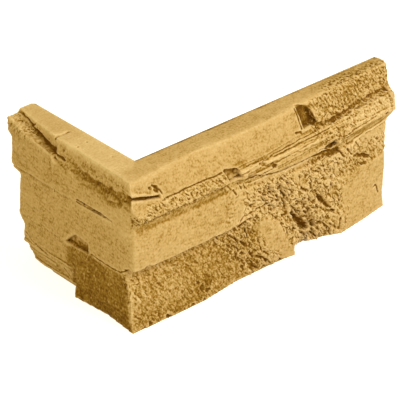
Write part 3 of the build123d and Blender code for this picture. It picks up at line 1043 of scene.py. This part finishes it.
@dataclass
class Casting:
    """The corner piece itself, carved out of a copy of its solid.

    Voxel is the spacing of the mesh that is carved, in millimetres, and facets how many triangles
    stay. The rounds say how often points are drawn together, for the plain and the softened edges.
    """

    node: str = "corner_stone"
    name: str = "carved_corner_stone"
    voxel: float = 0.55
    facets: int = 185000
    wear_rounds: int = 7
    soft_rounds: int = 70
    finish: CastStoneFinish = field(default_factory=CastStoneFinish)

    def copy_solid(self) -> bpy.types.Object:
        """Copy the solid's mesh into a new object and give it an even fine mesh.

        Returns:
            The new object, linked to the scene.
        """
        bm = bmesh.new()
        bm.from_mesh(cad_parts[self.node].data)
        bmesh.ops.remove_doubles(bm, verts=bm.verts, dist=1e-6)
        mesh = bpy.data.meshes.new(self.name)
        bm.to_mesh(mesh)
        bm.free()
        piece = bpy.data.objects.new(self.name, mesh)
        bpy.context.scene.collection.objects.link(piece)
        even = piece.modifiers.new("even_mesh", "REMESH")
        even.mode = "VOXEL"
        even.voxel_size = self.voxel * MM
        self.settle(piece)
        return piece

    @staticmethod
    def settle(piece: bpy.types.Object) -> None:
        """Put the result of a piece's modifiers into its mesh.

        Args:
            piece: the piece, which loses its modifiers.
        """
        shown = piece.evaluated_get(bpy.context.evaluated_depsgraph_get())
        mesh = bpy.data.meshes.new_from_object(shown)
        piece.modifiers.clear()
        piece.data = mesh
        mesh.name = piece.name

    @staticmethod
    def read(mesh: bpy.types.Mesh) -> tuple[Array, Array, Array]:
        """Read a mesh.

        Args:
            mesh: the mesh.

        Returns:
            Its points in millimetres, their normals, and its edges as pairs of points.
        """
        count = len(mesh.vertices)
        places = np.empty(count * 3)
        mesh.vertices.foreach_get("co", places)
        normals = np.empty(count * 3)
        mesh.vertex_normals.foreach_get("vector", normals)
        edges = np.empty(len(mesh.edges) * 2, dtype=np.int32)
        mesh.edges.foreach_get("vertices", edges)
        return places.reshape(-1, 3) / MM, normals.reshape(-1, 3), edges.reshape(-1, 2)

    @staticmethod
    def write(mesh: bpy.types.Mesh, places: Array) -> None:
        """Move a mesh's points to places given in millimetres."""
        mesh.vertices.foreach_set("co", (places * MM).ravel())
        mesh.update()

    @staticmethod
    def relaxed(places: Array, edges: Array, rounds: int) -> Array:
        """Draw points towards their neighbours.

        Args:
            places: the points.
            edges: pairs of points.
            rounds: how often they are drawn together.

        Returns:
            The smoothed points.
        """
        count = np.bincount(edges.ravel(), minlength=len(places))[:, None]
        here = places.copy()
        for _ in range(rounds):
            total = np.zeros_like(here)
            for axis in range(3):
                total[:, axis] = np.bincount(edges[:, 0], here[edges[:, 1], axis], len(here))
                total[:, axis] += np.bincount(edges[:, 1], here[edges[:, 0], axis], len(here))
            here = 0.5 * here + 0.5 * total / count
        return here

    @staticmethod
    def boxed(places: Array) -> Array:
        """Points held within the solid's own box."""
        low, high = (np.array(corner) / MM for corner in SOLID_BOX)
        return np.clip(places, low, high)

    @staticmethod
    def squared(places: Array, normals: Array) -> Array:
        """Set the points of the back faces and the bed exactly on their planes, in place.

        Args:
            places: the points, which are changed.
            normals: their normals.

        Returns:
            1 for the points set, and 0 for the others.
        """
        x, y, z = places.T
        nx, ny, nz = normals.T
        inside = (x > -PLANE_GAP) & (y > -PLANE_GAP)
        back_long = inside & (ny > PLANE_TILT)
        back_short = inside & (nx > PLANE_TILT) & ~back_long
        bed = (z < PLANE_GAP) & (nz < -PLANE_TILT)
        places[back_long, 1] = 0.0
        places[back_short, 0] = 0.0
        places[bed, 2] = 0.0
        return (back_long | back_short | bed).astype(float)

    def worn(self, cut: Carving, edges: Array, free: Array) -> Array:
        """Wear the edges down, a little everywhere and more where they are softened.

        Args:
            cut: the carving, which holds the points.
            edges: pairs of points.
            free: 1 for the points that may move, and 0 for the others.

        Returns:
            The worn points.
        """
        places = cut.places
        wear = (0.7 + 0.5 * cut.noise.waves(places, 8.0)) * np.maximum(cut.outer(), 0.35) * free
        once = self.relaxed(places, edges, self.wear_rounds)
        shaped = places + (once - places) * np.clip(wear, 0.0, 1.0)[:, None]
        soft = self.relaxed(shaped, edges, self.soft_rounds)
        return shaped + (soft - shaped) * (cut.softening() * free)[:, None]

    def carve(self, mesh: bpy.types.Mesh) -> None:
        """Wear the edges and work in the relief, with the backs and the bed left true.

        Args:
            mesh: the mesh, which is changed.
        """
        places, normals, edges = self.read(mesh)
        free = 1.0 - self.squared(places, normals)
        shaped = self.worn(Carving(places, normals), edges, free)
        self.write(mesh, shaped)
        _, way, _ = self.read(mesh)
        way = self.relaxed(way, edges, 2)
        way /= np.linalg.norm(way, axis=1, keepdims=True)
        cut = Carving(shaped, way)
        carved = shaped + way * (cut.height() * free)[:, None]
        carved[:, 2] -= cut.top_cracks()
        self.write(mesh, self.boxed(carved))

    def paint(self, mesh: bpy.types.Mesh) -> None:
        """Store each point's tone, with painted shade in hollows and painted highlight on crests, and how
        broken it is.

        Args:
            mesh: the mesh, which gets the two attributes.
        """
        places, normals, edges = self.read(mesh)
        tone = np.full(len(places), PLAIN_TONE)
        # Painted shade in hollows and painted highlight on crests, from each point's height over its
        # neighbours
        for row in HOLLOW_SHADING:
            lift = places - self.relaxed(places, edges, row.rounds)
            lift = np.einsum("ij,ij->i", lift, normals)
            tone += np.clip(row.gain * lift, row.darkest, row.lightest)
        cut = Carving(places, normals)
        broken = cut.kind_share(PITTED) + cut.kind_share(SPLIT)
        broken += 0.4 * cut.kind_share(LEAVED)
        broken = np.clip(broken, 0.0, 1.0) * cut.outer()
        tone += broken * (0.2 * cut.noise.rubble(cut.grained(places) + 70.0, 1.5, 2, 0.8) - 0.03)
        # Painted shade and painted light from the patches and seams, together with darker or lighter stone
        for shading_or_stain in SHADING_AND_STAINS:
            tone -= cut.shading_or_stain_share(shading_or_stain)
        for seam in SEAMS:
            here, share = cut.seam_share(seam)
            tone[here] -= seam.dark * share
        for name, values in (("tone", np.clip(tone, 0.0, 1.0)), ("broken", broken)):
            mesh.attributes.new(name, "FLOAT", "POINT").data.foreach_set("value", values)

    def thin(self, piece: bpy.types.Object) -> None:
        """Take out the points that flat and smooth stretches can spare.

        Args:
            piece: the piece, whose mesh is changed.
        """
        spare = piece.modifiers.new("thin_mesh", "DECIMATE")
        spare.ratio = min(1.0, self.facets / (2.0 * len(piece.data.polygons)))
        self.settle(piece)
        places, _, _ = self.read(piece.data)
        self.write(piece.data, self.boxed(places))

    def build(self) -> bpy.types.Object:
        """Make the piece.

        Returns:
            The carved and finished piece.
        """
        piece = self.copy_solid()
        self.carve(piece.data)
        self.paint(piece.data)
        self.thin(piece)
        piece.data.shade_smooth()
        piece.data.materials.clear()
        piece.data.materials.append(self.finish.material())
        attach(piece, "root")
        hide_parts(self.node)
        return piece


@dataclass(frozen=True)
class Lamp:
    """A soft square lamp: the way to it from the piece, its width in metres and its power in watts."""

    name: str
    towards: Direction
    size: float
    power: float
    colour: Colour = (1.0, 1.0, 1.0)


@dataclass
class Studio:
    """Pale floor, soft lamps and the camera at the photograph's viewing angle.

    Angles are in degrees and lengths in metres, apart from the lens and the sensor, in millimetres.
    Lift is how much of its own light the floor shows to the camera.
    """

    azimuth: float = -41.6
    elevation: float = 30.85
    lens: float = 216.0
    sensor: float = 36.0
    distance: float = 1.5
    aim: Direction = (0.060, 0.020, 0.050)
    aim_right: float = 0.00728
    aim_down: float = 0.00891
    lamps: tuple[Lamp, ...] = (
        Lamp("key", (0.35, -0.8, 0.75), 0.7, 8.6),
        Lamp("side", (-0.9, -0.25, 0.4), 0.8, 2.2, (1.0, 0.9, 0.5)),
    )
    lamp_distance: float = 1.2
    fill: Colour = (1.0, 0.905, 0.53)
    fill_strength: float = 0.6
    floor_reach: float = 4.0
    floor_colour: Colour = (0.8, 0.8, 0.8)
    floor_roughness: float = 0.9
    floor_lift: float = 0.75

    def axes(self) -> tuple[Vector, Vector, Vector]:
        """Work out how the camera is turned.

        Returns:
            Its right, up and backward directions.
        """
        a = math.radians(self.azimuth)
        e = math.radians(self.elevation)
        right = Vector((math.cos(a), math.sin(a), 0.0))
        back = Vector((math.sin(a) * math.cos(e), -math.cos(a) * math.cos(e), math.sin(e)))
        return right, back.cross(right), back

    @staticmethod
    def place(name: str, data: bpy.types.ID, spot: Vector, back: Vector) -> bpy.types.Object:
        """Put a camera or lamp in the scene.

        Args:
            name: the object's name.
            data: the camera or lamp.
            spot: where it stands.
            back: the direction behind it.

        Returns:
            The new object.
        """
        stand = bpy.data.objects.new(name, data)
        stand.location = spot
        stand.rotation_euler = (-back).to_track_quat("-Z", "Y").to_euler()
        bpy.context.scene.collection.objects.link(stand)
        return stand

    def camera(self) -> None:
        """Set up the camera."""
        right, up, back = self.axes()
        target = Vector(self.aim) + right * self.aim_right - up * self.aim_down
        data = bpy.data.cameras.new("camera")
        data.lens = self.lens
        data.sensor_width = self.sensor
        bpy.context.scene.camera = self.place("camera", data, target + back * self.distance, back)

    def light(self, lamp: Lamp) -> None:
        """Set up a lamp that shines on the piece.

        Args:
            lamp: the lamp.
        """
        data = bpy.data.lights.new(lamp.name, "AREA")
        data.size = lamp.size
        data.energy = lamp.power
        data.color = lamp.colour
        way = Vector(lamp.towards).normalized()
        self.place(lamp.name, data, Vector(self.aim) + way * self.lamp_distance, way)

    def floor(self) -> None:
        """Lay the pale floor, which shows white to the camera and keeps the piece's shadow."""
        bm = bmesh.new()
        bmesh.ops.create_grid(bm, x_segments=1, y_segments=1, size=self.floor_reach)
        mesh = bpy.data.meshes.new("floor")
        bm.to_mesh(mesh)
        bm.free()
        floor = bpy.data.objects.new("floor", mesh)
        bpy.context.scene.collection.objects.link(floor)
        made = bpy.data.materials.new("pale_floor")
        graph = Graph(made)
        rays = graph.nodes.new("ShaderNodeLightPath").outputs
        seen = graph.reckon("MAXIMUM", rays["Is Camera Ray"], rays["Is Glossy Ray"])
        inputs = {
            "Base Color": (*self.floor_colour, 1.0),
            "Roughness": self.floor_roughness,
            "Emission Color": (1.0, 1.0, 1.0, 1.0),
            "Emission Strength": graph.reckon("MULTIPLY", seen, self.floor_lift),
        }
        graph.feed(graph.nodes["Principled BSDF"], inputs)
        mesh.materials.append(made)

    def world(self) -> None:
        """Set up the fill light from all round, white where the camera sees it."""
        world = bpy.data.worlds.new("studio")
        bpy.context.scene.world = world
        graph = Graph(world)
        fill = {"Color": (*self.fill, 1.0), "Strength": self.fill_strength}
        tinted = graph.feed(graph.nodes["Background"], fill)
        white = graph.nodes.new("ShaderNodeBackground")
        rays = graph.nodes.new("ShaderNodeLightPath").outputs
        shaders = {"Fac": rays["Is Camera Ray"], 1: tinted.outputs[0], 2: white.outputs[0]}
        either = graph.add("ShaderNodeMixShader", shaders)
        graph.feed(graph.nodes["World Output"], {"Surface": either.outputs["Shader"]})

    def build(self) -> None:
        """Set up the whole studio."""
        self.floor()
        self.world()
        for lamp in self.lamps:
            self.light(lamp)
        self.camera()
        bpy.context.scene.view_settings.view_transform = "Standard"


def main() -> None:
    """Build the casting and the studio, report them and note the sizes."""
    logging.basicConfig(level=logging.INFO, format="%(name)s: %(message)s")
    piece = Casting().build()
    mesh = piece.data
    LOG.info("%s: %d points, %d facets", piece.name, len(mesh.vertices), len(mesh.polygons))
    studio = Studio()
    studio.build()
    LOG.info("studio: floor, camera and %d lamps", len(studio.lamps))


if __name__ == "__main__":
    main()
